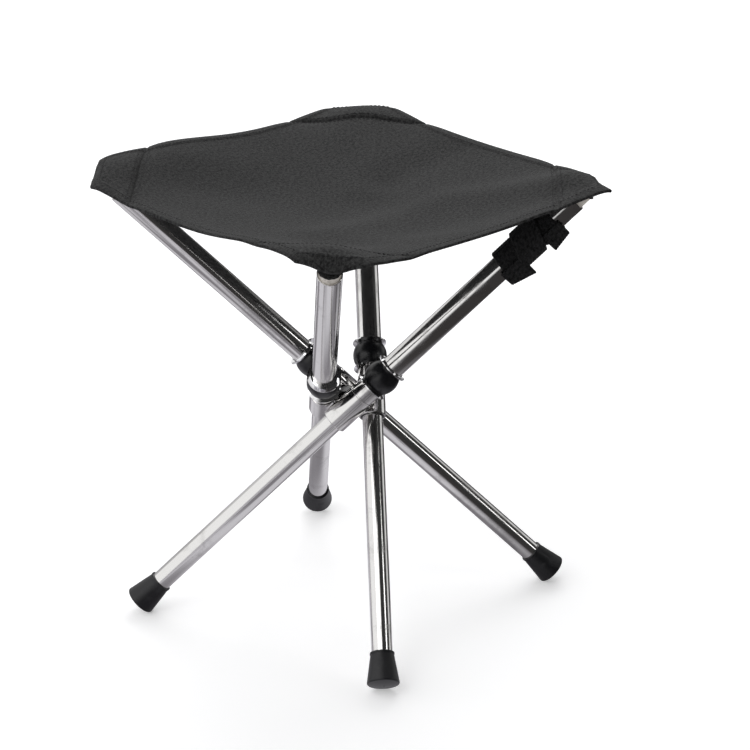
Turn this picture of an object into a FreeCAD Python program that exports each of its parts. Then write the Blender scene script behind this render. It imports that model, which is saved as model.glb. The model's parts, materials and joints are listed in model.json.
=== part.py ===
import FreeCAD, Part
import math
import os

# Four-leg telescopic folding camp stool. Millimetres, +Z up, origin on the floor
# under the middle of the stool. Each leg is one straight line that passes beside a
# small hub; its top is on one side of the stool and its foot on the other.
#
# Leg frame: origin at the leg's own pivot, +Z up along the tube, +Y outward along the
# pivot pin (away from the hub), +X on the upper, inner side of the sloping tube.
# Seat frame of one quarter: origin at the seat's middle on the floor, +X towards the
# corner.

# ---- stance -------------------------------------------------------------------------
LEG_TILT_DEG = 45.7          # tube from the vertical when the stool is open
UPPER_REACH = 243.0          # pivot to the top of the upper tube
LOWER_REACH = 236.0          # pivot to the underside of the foot cap
FOLDED_GAP = 0.44            # between neighbouring balls when all tubes stand upright
CROSSING_GAP = 0.7           # between neighbouring collars where the open legs cross
LEGS = {"left": 0.0, "front": 90.0, "right": 180.0, "back": 270.0}

# ---- tubes --------------------------------------------------------------------------
UPPER_OD = 19.0
UPPER_WALL = 0.8
LOWER_WALL = 0.8
LOWER_TUBE_TOP = 50.0        # pivot to the top of the lower tube, pulled out
TUBE_END_CHAMFER = 0.3

# ---- collar and sleeve --------------------------------------------------------------
COLLAR_WALL = 1.25
COLLAR_BOTTOM = -16.0
COLLAR_TOP = 14.0
COLLAR_EDGE = 0.5
SLEEVE_WALL = 0.95
SLEEVE_LENGTH = 11.5
BEAD_PROUD = 0.5
BEAD_WIDTH = 1.0

# ---- hub and pivots -----------------------------------------------------------------
HUB_TO_TUBE = 3.4            # hub's face to the upper tube's wall
HUB_HEIGHT = 17.0
HUB_CHAMFER = 1.2
HUB_SHOULDER_WALL = 1.5
HUB_SHOULDER_PROUD = 0.2
BOSS_WALL = 2.5
BOSS_TO_HUB_GAP = 0.4
PIVOT_PIN_OD = 6.0
PIVOT_RADIAL_FIT = 0.05
PIN_ROOT_GAP = 0.4
PIN_END_GAP = 0.3

# ---- ball bumper and its two flange rings -------------------------------------------
BALL_THICKNESS = 4.0         # rubber over the tube at the ball's middle
BALL_END_THICKNESS = 0.8
BALL_LENGTH = 18.8
FLANGE_INSET = 0.2           # flange rim inside the ball's outline
FLANGE_LIP = 0.8
FLANGE_DISH = 1.3            # rim turned away from the ball
FLANGE_NECK_WALL = 0.9
FLANGE_NECK_LENGTH = 2.0

# ---- bushes and plugs ---------------------------------------------------------------
BUSH_WALL = 0.5
SLIDE_RADIAL_FIT = 0.05
MOUTH_BUSH_LENGTH = 12.0
BUSH_LIP = 2.0
GUIDE_BUSH_LENGTH = 12.0
GUIDE_LIP_INSET = 2.15
PLUG_STEM_LENGTH = 8.0
PLUG_HEAD_INSET = 1.5        # plug's head inside the tube's outer wall
PLUG_HEAD_LENGTH = 9.5
PLUG_DOME = 1.5

# ---- foot cap -----------------------------------------------------------------------
CAP_LENGTH = 25.0
CAP_WALL = 0.95
CAP_FLARE = 3.5
CAP_ROUND = 1.4
CAP_DOME = 1.2               # underside's middle below its rounded edge
CAP_LIP_PROUD = 0.4
CAP_LIP_HEIGHT = 1.3
CAP_FLOOR = 7.0
CAP_FLAT = 0.4

# ---- seat ---------------------------------------------------------------------------
POCKET_WALL = 0.8
POCKET_DEPTH = 4.5
POCKET_CLEARANCE = 0.2
CLOTH_THICKNESS = 1.6
CLOTH_OVER_POCKET = 1.7      # pocket's highest point to the cloth's underside
CORNER_LIFT = 7.9            # cloth raised over a tube's end
CORNER_LIFT_SPREAD = 20.0
CORNER_OVERHANG = 18.9       # tube's end to the blunt corner's end, seen from above
BLUNT_HALF_WIDTH = 28.0
TIP_DROP = 9.3               # middle of a blunt end below its two ears
TIP_SPREAD = 15.0
EDGE_HOLLOW = 4.0            # how far a hem draws in at its middle
EDGE_SAG = 3.5
MIDDLE_SAG = 22.4
QUARTER_GAP = 0.3
CLOTH_GRID = 17

# ---- tie strap on the right leg -----------------------------------------------------
STRAP_WIDTH = 25.0
STRAP_THICKNESS = 1.6
STRAP_CLEARANCE = 0.2
STRAP_BELOW_TOP = 21.1
STRAP_WRAP_GAP = 5.0
STRAP_TAIL_WIDTH = 17.0
STRAP_TAIL_REACH = 7.0       # each doubled end beyond its wrap
STRAP_TAIL_SHIFT = 3.0       # each doubled end above its wrap's middle
STRAP_LEG = "right"

# ---- sizes that follow --------------------------------------------------------------
TILT = math.radians(LEG_TILT_DEG)
UPPER_BORE = UPPER_OD - 2 * UPPER_WALL
LOWER_OD = UPPER_BORE - 2 * (BUSH_WALL + SLIDE_RADIAL_FIT)
COLLAR_OD = UPPER_OD + 2 * COLLAR_WALL
SLEEVE_OD = UPPER_OD + 2 * SLEEVE_WALL
BEAD_OD = SLEEVE_OD + 2 * BEAD_PROUD
BALL_OD = UPPER_OD + 2 * BALL_THICKNESS
BALL_END_OD = UPPER_OD + 2 * BALL_END_THICKNESS
FLANGE_OD = BALL_OD - 2 * FLANGE_INSET
CAP_TOP_OD = LOWER_OD + 2 * CAP_WALL
CAP_LIP_OD = CAP_TOP_OD + 2 * CAP_LIP_PROUD
CAP_BOTTOM_OD = CAP_TOP_OD + 2 * CAP_FLARE
FOLDED_OFFSET = (max(BALL_OD, CAP_BOTTOM_OD) + FOLDED_GAP) * math.sqrt(0.5)
CROSSING_OFFSET = (COLLAR_OD + CROSSING_GAP) * math.hypot(1, math.cos(TILT)) / (2 * math.cos(TILT))
LEG_OFFSET = max(FOLDED_OFFSET, CROSSING_OFFSET)
HUB_HALF_WIDTH = LEG_OFFSET - UPPER_OD / 2 - HUB_TO_TUBE
HUB_SHOULDER_OD = PIVOT_PIN_OD + 2 * HUB_SHOULDER_WALL
BOSS_OD = PIVOT_PIN_OD + 2 * BOSS_WALL
PIN_ROOT = PIVOT_PIN_OD / 2 + PIN_ROOT_GAP
UPPER_TUBE_BOTTOM = COLLAR_BOTTOM + BUSH_LIP
SLEEVE_BOTTOM = COLLAR_TOP + BEAD_WIDTH
SLEEVE_TOP = SLEEVE_BOTTOM + SLEEVE_LENGTH
BALL_BOTTOM = SLEEVE_TOP + FLANGE_LIP
BALL_TOP = BALL_BOTTOM + BALL_LENGTH
PLUG_HEAD_OD = UPPER_OD - 2 * PLUG_HEAD_INSET
PLUG_SHOULDER = UPPER_REACH + PLUG_HEAD_LENGTH
POCKET_OUTER_RADIUS = PLUG_HEAD_OD / 2 + POCKET_CLEARANCE + POCKET_WALL
POCKET_INSIDE_TOP = PLUG_SHOULDER + PLUG_DOME + POCKET_CLEARANCE
POCKET_TOP = POCKET_INSIDE_TOP + POCKET_WALL
POCKET_BOTTOM = POCKET_TOP - POCKET_DEPTH
POCKET_SHOULDER = POCKET_TOP - POCKET_WALL
STRAP_UPPER_AT = UPPER_REACH - STRAP_BELOW_TOP - STRAP_WIDTH / 2
STRAP_LOWER_AT = STRAP_UPPER_AT - STRAP_WIDTH - STRAP_WRAP_GAP


def pivot_height():
    """Height of the pivots: the caps' rounded undersides just press on the floor."""
    round_up = (LOWER_REACH - CAP_ROUND) * math.cos(TILT)
    round_in = (CAP_BOTTOM_OD / 2 - CAP_ROUND) * math.sin(TILT)
    return round_up + round_in + CAP_ROUND - CAP_FLAT


def seen_from_above(distance_up_tube, inward):
    """Distance from the stool's middle to a point on a leg's upper, inner side."""
    radial = distance_up_tube * math.sin(TILT) - inward * math.cos(TILT)
    return math.hypot(radial, LEG_OFFSET)


def droop(share):
    """1 at a middle line and 0 at a hem, level at both."""
    return (1 - share * share) ** 2


def sag(p, q):
    """How far the cloth hangs below its corners, at shares of the way to the hems."""
    both = (MIDDLE_SAG - 2 * EDGE_SAG) * droop(p) * droop(q)
    return EDGE_SAG * (droop(p) + droop(q)) + both


PIVOT_HEIGHT = pivot_height()
POCKET_RISE = POCKET_SHOULDER * math.cos(TILT) + POCKET_OUTER_RADIUS * math.sin(TILT)
CREST_REACH = seen_from_above(POCKET_SHOULDER, POCKET_OUTER_RADIUS)
CORNER_REACH = seen_from_above(UPPER_REACH, 0.0) + CORNER_OVERHANG
SEAT_HALF = (CORNER_REACH + BLUNT_HALF_WIDTH) * math.sqrt(0.5)
CREST_SHARE = CREST_REACH * math.sqrt(0.5) / SEAT_HALF
CREST_RISE = POCKET_RISE + CLOTH_OVER_POCKET + CLOTH_THICKNESS
SEAT_RISE = CREST_RISE - CORNER_LIFT + sag(CREST_SHARE, CREST_SHARE)


def placed_on_leg(shape, azimuth):
    """Moves a shape from the leg frame to its place on the open stool."""
    placed = shape.copy()
    placed.rotate(FreeCAD.Vector(0, 0, 0), FreeCAD.Vector(0, 1, 0), -LEG_TILT_DEG)
    placed.translate(FreeCAD.Vector(0, LEG_OFFSET, PIVOT_HEIGHT))
    placed.rotate(FreeCAD.Vector(0, 0, 0), FreeCAD.Vector(0, 0, 1), azimuth)
    return placed


def revolved(points):
    """Turns a closed outline of (radius, height) points about the leg's axis."""
    outline = [FreeCAD.Vector(r, 0, h) for r, h in points]
    face = Part.Face(Part.makePolygon(outline + outline[:1]))
    return face.revolve(FreeCAD.Vector(0, 0, 0), FreeCAD.Vector(0, 0, 1), 360)


def ring(outer_d, inner_d, bottom, top):
    """A plain round ring about the leg's axis."""
    points = [(inner_d / 2, bottom), (outer_d / 2, bottom), (outer_d / 2, top), (inner_d / 2, top)]
    return revolved(points)


def chamfered_tube(outer_d, wall, bottom, top):
    """A tube whose two outer ends are broken by a small chamfer."""
    r = outer_d / 2
    c = min(TUBE_END_CHAMFER, wall / 2)
    points = [
        (r - wall, bottom), (r - c, bottom), (r, bottom + c),
        (r, top - c), (r - c, top), (r - wall, top),
    ]
    return revolved(points)


def upper_tube():
    return chamfered_tube(UPPER_OD, UPPER_WALL, UPPER_TUBE_BOTTOM, UPPER_REACH)


def lower_tube():
    return chamfered_tube(LOWER_OD, LOWER_WALL, CAP_FLOOR - LOWER_REACH, LOWER_TUBE_TOP)


def pivot_collar():
    """Steel collar round the upper tube, with a bored boss that faces the hub."""
    r = COLLAR_OD / 2
    bore = UPPER_OD / 2
    barrel = revolved([
        (bore, COLLAR_BOTTOM), (r - COLLAR_EDGE, COLLAR_BOTTOM), (r, COLLAR_BOTTOM + COLLAR_EDGE),
        (r, COLLAR_TOP - COLLAR_EDGE), (r - COLLAR_EDGE, COLLAR_TOP), (bore, COLLAR_TOP),
    ])
    boss_start = HUB_HALF_WIDTH + HUB_SHOULDER_PROUD + BOSS_TO_HUB_GAP - LEG_OFFSET
    along = FreeCAD.Vector(0, 1, 0)
    start = FreeCAD.Vector(0, boss_start, 0)
    boss = Part.makeCylinder(BOSS_OD / 2, -boss_start, start, along)
    tube_room = Part.makeCylinder(bore, COLLAR_OD, FreeCAD.Vector(0, 0, -COLLAR_OD / 2))
    pin_room = Part.makeCylinder(PIVOT_PIN_OD / 2 + PIVOT_RADIAL_FIT, -boss_start, start, along)
    return barrel.fuse(boss).cut(tube_room).cut(pin_room).removeSplitter()


def spacer_sleeve():
    """Steel sleeve between collar and ball, with a rolled bead that meets the collar."""
    bore = UPPER_OD / 2
    bead = BEAD_OD / 2
    body = SLEEVE_OD / 2
    return revolved([
        (bore, COLLAR_TOP), (bead, COLLAR_TOP), (bead, SLEEVE_BOTTOM), (body, SLEEVE_BOTTOM),
        (body, SLEEVE_TOP), (bore, SLEEVE_TOP),
    ])


def lower_flange():
    """Dished chrome washer under the ball. It stands on the sleeve, so it has no neck."""
    bore = UPPER_OD / 2
    rim = FLANGE_OD / 2
    rim_bottom = SLEEVE_TOP - FLANGE_DISH
    return revolved([
        (bore, SLEEVE_TOP), (SLEEVE_OD / 2, SLEEVE_TOP), (rim, rim_bottom),
        (rim, rim_bottom + FLANGE_LIP), (BALL_END_OD / 2, BALL_BOTTOM), (bore, BALL_BOTTOM),
    ])


def upper_flange():
    """Dished chrome washer over the ball, with a short neck up the tube."""
    bore = UPPER_OD / 2
    neck = bore + FLANGE_NECK_WALL
    rim = FLANGE_OD / 2
    neck_top = BALL_TOP + FLANGE_LIP + FLANGE_NECK_LENGTH
    return revolved([
        (bore, BALL_TOP), (BALL_END_OD / 2, BALL_TOP), (rim, BALL_TOP + FLANGE_DISH),
        (rim, BALL_TOP + FLANGE_DISH + FLANGE_LIP), (neck, BALL_TOP + FLANGE_LIP),
        (neck, neck_top), (bore, neck_top),
    ])


def ball_bumper():
    """Rubber barrel ball: one arc from end to end, seated between the two flanges."""
    bore = UPPER_OD / 2
    end = BALL_END_OD / 2
    middle = (BALL_BOTTOM + BALL_TOP) / 2
    low_in = FreeCAD.Vector(bore, 0, BALL_BOTTOM)
    low = FreeCAD.Vector(end, 0, BALL_BOTTOM)
    equator = FreeCAD.Vector(BALL_OD / 2, 0, middle)
    high = FreeCAD.Vector(end, 0, BALL_TOP)
    high_in = FreeCAD.Vector(bore, 0, BALL_TOP)
    edges = [
        Part.LineSegment(low_in, low).toShape(), Part.Arc(low, equator, high).toShape(),
        Part.LineSegment(high, high_in).toShape(), Part.LineSegment(high_in, low_in).toShape(),
    ]
    face = Part.Face(Part.Wire(edges))
    return face.revolve(FreeCAD.Vector(0, 0, 0), FreeCAD.Vector(0, 0, 1), 360)


def mouth_bush():
    """Nylon bush in the upper tube's lower end, with a lip under the tube."""
    inner = LOWER_OD / 2 + SLIDE_RADIAL_FIT
    return revolved([
        (inner, COLLAR_BOTTOM), (UPPER_OD / 2, COLLAR_BOTTOM), (UPPER_OD / 2, UPPER_TUBE_BOTTOM),
        (UPPER_BORE / 2, UPPER_TUBE_BOTTOM), (UPPER_BORE / 2, UPPER_TUBE_BOTTOM + MOUTH_BUSH_LENGTH),
        (inner, UPPER_TUBE_BOTTOM + MOUTH_BUSH_LENGTH),
    ])


def guide_bush():
    """Nylon guide on the lower tube's upper end, running in the upper tube's bore."""
    outer = UPPER_BORE / 2 - SLIDE_RADIAL_FIT
    bottom = LOWER_TUBE_TOP - GUIDE_BUSH_LENGTH
    return revolved([
        (LOWER_OD / 2, bottom), (outer, bottom), (outer, LOWER_TUBE_TOP + BUSH_LIP),
        (LOWER_OD / 2 - GUIDE_LIP_INSET, LOWER_TUBE_TOP + BUSH_LIP), (LOWER_OD / 2 - GUIDE_LIP_INSET, LOWER_TUBE_TOP),
        (LOWER_OD / 2, LOWER_TUBE_TOP),
    ])


def top_plug():
    """Pale nylon plug: a stem in the tube's bore and a domed head that bears the cloth."""
    head = PLUG_HEAD_OD / 2
    stem = UPPER_BORE / 2
    bottom = UPPER_REACH - PLUG_STEM_LENGTH
    top = PLUG_SHOULDER + PLUG_DOME
    corners = [(0, top), (0, bottom), (stem, bottom), (stem, UPPER_REACH), (head, UPPER_REACH), (head, PLUG_SHOULDER)]
    points = [FreeCAD.Vector(r, 0, h) for r, h in corners]
    edges = [Part.LineSegment(a, b).toShape() for a, b in zip(points, points[1:])]
    edges.append(dome_edge(head, PLUG_SHOULDER, top))
    face = Part.Face(Part.Wire(edges))
    return face.revolve(FreeCAD.Vector(0, 0, 0), FreeCAD.Vector(0, 0, 1), 360)


def dome_edge(rim, base, apex):
    """Arc from a rim to the axis, level where it meets the axis at height apex."""
    rise = abs(apex - base)
    side = math.copysign(1.0, apex - base)
    radius = (rim * rim + rise * rise) / (2 * rise)
    half = math.asin(rim / radius) / 2
    between = FreeCAD.Vector(radius * math.sin(half), 0, apex - side * radius * (1 - math.cos(half)))
    arc = Part.Arc(FreeCAD.Vector(rim, 0, base), between, FreeCAD.Vector(0, 0, apex))
    return arc.toShape()


def corner_pocket():
    """Sewn cup under the seat's corner: a short wall and a closed end over the plug's head."""
    inner = PLUG_HEAD_OD / 2 + POCKET_CLEARANCE
    outer = POCKET_OUTER_RADIUS
    return revolved([
        (inner, POCKET_BOTTOM), (outer, POCKET_BOTTOM), (outer, POCKET_SHOULDER),
        (outer - POCKET_WALL, POCKET_TOP), (0, POCKET_TOP), (0, POCKET_INSIDE_TOP),
        (inner, POCKET_INSIDE_TOP),
    ])


def foot_cap_in_leg_frame():
    """Rubber cap: a cone with a lip round its mouth and a shallow domed underside."""
    edge = -LOWER_REACH
    top = edge + CAP_LENGTH
    wide = CAP_BOTTOM_OD / 2
    lip = CAP_LIP_OD / 2
    lip_bottom = top - CAP_LIP_HEIGHT
    socket = LOWER_OD / 2
    floor = edge + CAP_FLOOR
    round_r = wide - CAP_ROUND
    round_h = edge + CAP_ROUND
    slant = CAP_ROUND * math.sqrt(0.5)
    corners = [
        (wide, round_h), (CAP_TOP_OD / 2, lip_bottom), (lip, lip_bottom), (lip, top),
        (socket, top), (socket, floor), (0, floor), (0, edge - CAP_DOME),
    ]
    points = [FreeCAD.Vector(r, 0, h) for r, h in corners]
    edges = [Part.LineSegment(a, b).toShape() for a, b in zip(points, points[1:])]
    edges.append(dome_edge(round_r, edge, edge - CAP_DOME))
    between = FreeCAD.Vector(round_r + slant, 0, round_h - slant)
    edges.append(Part.Arc(FreeCAD.Vector(round_r, 0, edge), between, points[0]).toShape())
    face = Part.Face(Part.Wire(edges))
    return face.revolve(FreeCAD.Vector(0, 0, 0), FreeCAD.Vector(0, 0, 1), 360)


def foot_cap(azimuth):
    """The cap in place, with the small flat that the floor presses on it."""
    cap = placed_on_leg(foot_cap_in_leg_frame(), azimuth)
    span = 4 * LOWER_REACH
    below = Part.makeBox(span, span, span, FreeCAD.Vector(-span / 2, -span / 2, -span))
    return cap.cut(below)


def hub_block():
    """Nylon block with four bored faces, one for each pivot pin."""
    width = 2 * HUB_HALF_WIDTH
    low = FreeCAD.Vector(-HUB_HALF_WIDTH, -HUB_HALF_WIDTH, PIVOT_HEIGHT - HUB_HEIGHT / 2)
    block = Part.makeBox(width, width, HUB_HEIGHT, low)
    block = block.makeChamfer(HUB_CHAMFER, block.Edges)
    for azimuth in LEGS.values():
        outward = pin_direction(azimuth)
        base = outward * HUB_HALF_WIDTH + FreeCAD.Vector(0, 0, PIVOT_HEIGHT)
        block = block.fuse(Part.makeCylinder(HUB_SHOULDER_OD / 2, HUB_SHOULDER_PROUD, base, outward))
    for azimuth in LEGS.values():
        block = block.cut(pivot_pin(azimuth))
    return block.removeSplitter()


def pin_direction(azimuth):
    """Unit vector from the hub out along one leg's pivot pin."""
    turn = math.radians(azimuth)
    return FreeCAD.Vector(-math.sin(turn), math.cos(turn), 0)


def pivot_pin(azimuth):
    """Steel pin, fixed in the hub, that stops just short of the leg's tube."""
    outward = pin_direction(azimuth)
    end = LEG_OFFSET - UPPER_OD / 2 - PIN_END_GAP
    base = outward * PIN_ROOT + FreeCAD.Vector(0, 0, PIVOT_HEIGHT)
    return Part.makeCylinder(PIVOT_PIN_OD / 2, end - PIN_ROOT, base, outward)


def pivot_pins():
    return Part.makeCompound([pivot_pin(azimuth) for azimuth in LEGS.values()])


def hem_distance(share):
    """Middle line to hem, at a share of the way from the hem's middle to its end."""
    return SEAT_HALF - EDGE_HOLLOW * (1 - share * share)


def seat_turn():
    """Angle between a leg's slope and the seat's diagonal, seen from above."""
    return math.asin(LEG_OFFSET / CORNER_REACH)


def corner_lift(along, across):
    """How much the tube's end raises the cloth at a point of the quarter."""
    turn = math.asin(LEG_OFFSET / CREST_REACH) - seat_turn()
    away = math.hypot(along - CREST_REACH * math.cos(turn), across + CREST_REACH * math.sin(turn))
    return CORNER_LIFT * math.exp(-0.5 * (away / CORNER_LIFT_SPREAD) ** 2)


def tip_drop(along, across):
    """How much the cloth bends down past the tube's end, most at the blunt end's middle."""
    past = max(0.0, (min(along, CORNER_REACH) - CREST_REACH) / (CORNER_REACH - CREST_REACH))
    return TIP_DROP * past ** 3 * math.exp(-0.5 * (across / TIP_SPREAD) ** 2)


def cloth_point(p, q):
    """A point of the cloth's upper face in the seat frame, p and q from 0 to 1."""
    first = p * hem_distance(q)
    second = q * hem_distance(p)
    along = (first + second) * math.sqrt(0.5)
    across = (first - second) * math.sqrt(0.5)
    corner = corner_lift(along, across) - tip_drop(along, across)
    return FreeCAD.Vector(along, across, PIVOT_HEIGHT + SEAT_RISE - sag(p, q) + corner)


def seat_quarter(azimuth):
    """One quarter of the seat cloth, from the seat's middle to a blunt corner."""
    near = QUARTER_GAP / SEAT_HALF
    shares = [near + (1 - near) * i / (CLOTH_GRID - 1) for i in range(CLOTH_GRID)]
    surface = Part.BSplineSurface()
    surface.interpolate([[cloth_point(p, q) for q in shares] for p in shares])
    sheet = surface.toShape().extrude(FreeCAD.Vector(0, 0, -CLOTH_THICKNESS))
    span = 2 * SEAT_HALF
    past_corner = Part.makeBox(span, span, 2 * span, FreeCAD.Vector(CORNER_REACH, -span / 2, 0))
    quarter = sheet.cut(past_corner)
    corner_angle = 180.0 - math.degrees(seat_turn())
    quarter.rotate(FreeCAD.Vector(0, 0, 0), FreeCAD.Vector(0, 0, 1), corner_angle + azimuth)
    return quarter


def strap_wrap(middle):
    """One close turn of webbing round the tube, as a band about the leg's axis."""
    inner = UPPER_OD + 2 * STRAP_CLEARANCE
    outer = inner + 4 * STRAP_THICKNESS
    return ring(outer, inner, middle - STRAP_WIDTH / 2, middle + STRAP_WIDTH / 2)


def strap_tail(middle):
    """A doubled end of the strap: it leaves its wrap's outer face and stands off under the tube."""
    inner = UPPER_OD / 2 + STRAP_CLEARANCE
    doubled = 2 * STRAP_THICKNESS
    length = inner + doubled + STRAP_TAIL_REACH
    low = FreeCAD.Vector(-length, inner, middle + STRAP_TAIL_SHIFT - STRAP_TAIL_WIDTH / 2)
    tail = Part.makeBox(length, doubled, STRAP_TAIL_WIDTH, low)
    return tail.cut(strap_wrap(middle))


UPPER_PIECES = {
    "upper_tube": upper_tube,
    "pivot_collar": pivot_collar,
    "spacer_sleeve": spacer_sleeve,
    "lower_flange": lower_flange,
    "ball_bumper": ball_bumper,
    "upper_flange": upper_flange,
    "mouth_bush": mouth_bush,
    "top_plug": top_plug,
    "corner_pocket": corner_pocket,
    "lower_tube": lower_tube,
    "guide_bush": guide_bush,
}


def all_parts():
    """Every sub-part in place on the open stool, by node name."""
    parts = {"hub_block": hub_block(), "hub_pivot_pins": pivot_pins()}
    for side, azimuth in LEGS.items():
        for piece, make in UPPER_PIECES.items():
            parts[f"{side}_{piece}"] = placed_on_leg(make(), azimuth)
        parts[f"{side}_foot_cap"] = foot_cap(azimuth)
        parts[f"{side}_seat_quarter"] = seat_quarter(azimuth)
    turn = LEGS[STRAP_LEG]
    parts["strap_lower_wrap"] = placed_on_leg(strap_wrap(STRAP_LOWER_AT), turn)
    parts["strap_upper_wrap"] = placed_on_leg(strap_wrap(STRAP_UPPER_AT), turn)
    parts["strap_lower_tail"] = placed_on_leg(strap_tail(STRAP_LOWER_AT), turn)
    parts["strap_upper_tail"] = placed_on_leg(strap_tail(STRAP_UPPER_AT), turn)
    return parts


def main():
    os.makedirs("parts", exist_ok=True)
    for node, shape in all_parts().items():
        shape.exportStep(f"parts/{node}.step")
        print(node, round(shape.Volume, 2), shape.isValid())


main()
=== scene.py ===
"""Looks of a folding camp stool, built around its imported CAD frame.

The frame brings the steel legs, collars, rings, balls and foot caps. This script adds the
draped seat cloth with its hems and stitching, the corner pockets and the wound strap, and
gives every piece its finish. Lengths are in metres. The row frame is the CAD's own frame, the
leg frame follows one tube and the seat frame is square to the hems.
"""

import json
import logging
import math
from collections.abc import Callable
from dataclasses import dataclass
from enum import Enum

import bmesh
import bpy
import numpy as np
from mathutils import Matrix, Vector


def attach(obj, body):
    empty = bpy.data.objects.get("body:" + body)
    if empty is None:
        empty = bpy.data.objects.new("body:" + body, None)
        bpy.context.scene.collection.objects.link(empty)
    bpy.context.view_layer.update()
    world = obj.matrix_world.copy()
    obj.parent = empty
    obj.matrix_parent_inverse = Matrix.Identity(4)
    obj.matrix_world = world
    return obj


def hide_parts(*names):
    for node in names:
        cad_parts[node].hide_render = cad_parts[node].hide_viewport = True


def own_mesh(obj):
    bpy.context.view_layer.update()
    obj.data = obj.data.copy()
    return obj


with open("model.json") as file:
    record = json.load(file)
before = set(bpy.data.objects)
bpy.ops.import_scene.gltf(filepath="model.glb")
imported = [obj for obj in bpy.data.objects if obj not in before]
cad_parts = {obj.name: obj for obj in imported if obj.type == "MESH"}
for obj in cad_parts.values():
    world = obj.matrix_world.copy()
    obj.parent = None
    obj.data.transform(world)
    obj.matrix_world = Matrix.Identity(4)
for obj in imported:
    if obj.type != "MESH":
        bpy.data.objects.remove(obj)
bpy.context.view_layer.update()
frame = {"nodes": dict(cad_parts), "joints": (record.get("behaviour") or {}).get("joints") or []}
LOG = logging.getLogger("camp_stool")
FLAT_LAYER = "flat_cloth"

Array = np.ndarray
Material = bpy.types.Material
Node = bpy.types.Node
Object = bpy.types.Object
Socket = bpy.types.NodeSocket


# ---- where the legs are ----


class Side(Enum):
    """The four legs, each named after the side that its top leans to."""

    LEFT = "left"
    FRONT = "front"
    RIGHT = "right"
    BACK = "back"


def joint(name: str) -> dict:
    """The record's joint of that name.

    Args:
        name: The joint's name in behaviour.

    Returns:
        The joint's entry.
    """
    return next(j for j in frame["joints"] if j["name"] == name)


@dataclass(frozen=True)
class Leg:
    """One leg's own axes, read from its fold and slide joints.

    The leg frame has its origin at the pivot, Z up along the tube, Y outward along the
    pivot pin and X on the tube's upper, inner side.
    """

    side: Side

    @property
    def body(self) -> str:
        """The body that the upper tube rides on."""
        return f"{self.side.value}_leg"

    @property
    def seat_body(self) -> str:
        """The body that this corner's quarter of the seat rides on."""
        return f"{self.side.value}_seat"

    @property
    def pivot(self) -> Vector:
        """The pivot's place at rest."""
        return Vector(joint(f"{self.side.value}_leg_fold")["pos_m"])

    @property
    def outward(self) -> Vector:
        """The pivot pin's direction, away from the hub."""
        return Vector(joint(f"{self.side.value}_leg_fold")["axis"])

    @property
    def up_tube(self) -> Vector:
        """The tube's direction, from its foot to its top."""
        return Vector(joint(f"{self.side.value}_leg_slide")["axis"])

    @property
    def azimuth(self) -> float:
        """How far this leg is turned about Z from the left leg, in radians."""
        return math.atan2(-self.outward.x, self.outward.y)

    def matrix(self) -> Matrix:
        """The matrix from the leg frame to the row frame."""
        across = self.outward.cross(self.up_tube)
        columns = Matrix((across, self.outward, self.up_tube)).transposed()
        return Matrix.Translation(self.pivot) @ columns.to_4x4()

    def node(self, piece: str) -> Object:
        """The CAD object of one of this leg's pieces."""
        return frame["nodes"][f"{self.side.value}_{piece}"]


LEGS = tuple(Leg(side) for side in Side)
LEFT_LEG = LEGS[0]
PIVOT_HEIGHT = LEFT_LEG.pivot.z
LEG_OFFSET = LEFT_LEG.pivot.y
TILT = math.atan2(-LEFT_LEG.up_tube.x, LEFT_LEG.up_tube.z)


# ---- mesh helpers ----


def placed(name: str, data: bpy.types.ID) -> Object:
    """Makes an object from its data and links it to the scene."""
    made = bpy.data.objects.new(name, data)
    bpy.context.scene.collection.objects.link(made)
    return made


def new_object(name: str, points: list, faces: list, smooth: bool = True) -> Object:
    """Makes a mesh object from points and faces.

    Args:
        name: The object's name.
        points: Vertex places in the row frame, in metres.
        faces: Tuples of vertex numbers.
        smooth: Whether the faces are shaded smooth.

    Returns:
        The linked object.
    """
    mesh = bpy.data.meshes.new(name)
    mesh.from_pydata([tuple(p) for p in points], [], faces)
    mesh.polygons.foreach_set("use_smooth", [smooth] * len(mesh.polygons))
    mesh.update()
    return placed(name, mesh)


def lay_flat(obj: Object, flat: object) -> None:
    """Stores where each vertex lies on the flat cut, in metres, for the weave.

    Args:
        obj: A cloth piece.
        flat: Two coordinates for each vertex.
    """
    layer = obj.data.uv_layers.new(name=FLAT_LAYER)
    corners = np.zeros(len(obj.data.loops), int)
    obj.data.loops.foreach_get("vertex_index", corners)
    layer.data.foreach_set("uv", np.asarray(flat, np.float32)[corners].ravel())


def unit(vectors: Array) -> Array:
    """Vectors at length one."""
    return vectors / np.linalg.norm(vectors, axis=-1, keepdims=True)


def upward(face: Callable, x: Array, y: Array, step: float) -> Array:
    """Upward unit normals of a surface over plan places.

    Args:
        face: Gives the surface's points over plan places.
        x: Plan coordinate along the first axis.
        y: Plan coordinate along the second axis.
        step: How far to each side the surface is felt.

    Returns:
        One normal for each place.
    """
    first = face(x + step, y) - face(x - step, y)
    second = face(x, y + step) - face(x, y - step)
    return unit(np.cross(first, second))


def paint(obj: Object, material: Material) -> None:
    """Gives every face of an object one material.

    Args:
        obj: A mesh object, new or from the frame.
        material: The finished material.
    """
    if not obj.material_slots:
        obj.data.materials.append(material)
    for slot in obj.material_slots:
        slot.material = material


def smooth_by_angle(obj: Object, degrees: float = 35.0) -> None:
    """Shades an object smooth, apart from its real edges.

    Args:
        obj: A node from the CAD, or a piece made here.
        degrees: Faces that meet at a larger angle keep a sharp edge.
    """
    mesh = obj.data
    mesh.polygons.foreach_set("use_smooth", [True] * len(mesh.polygons))
    mesh.set_sharp_from_angle(angle=math.radians(degrees))


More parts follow.
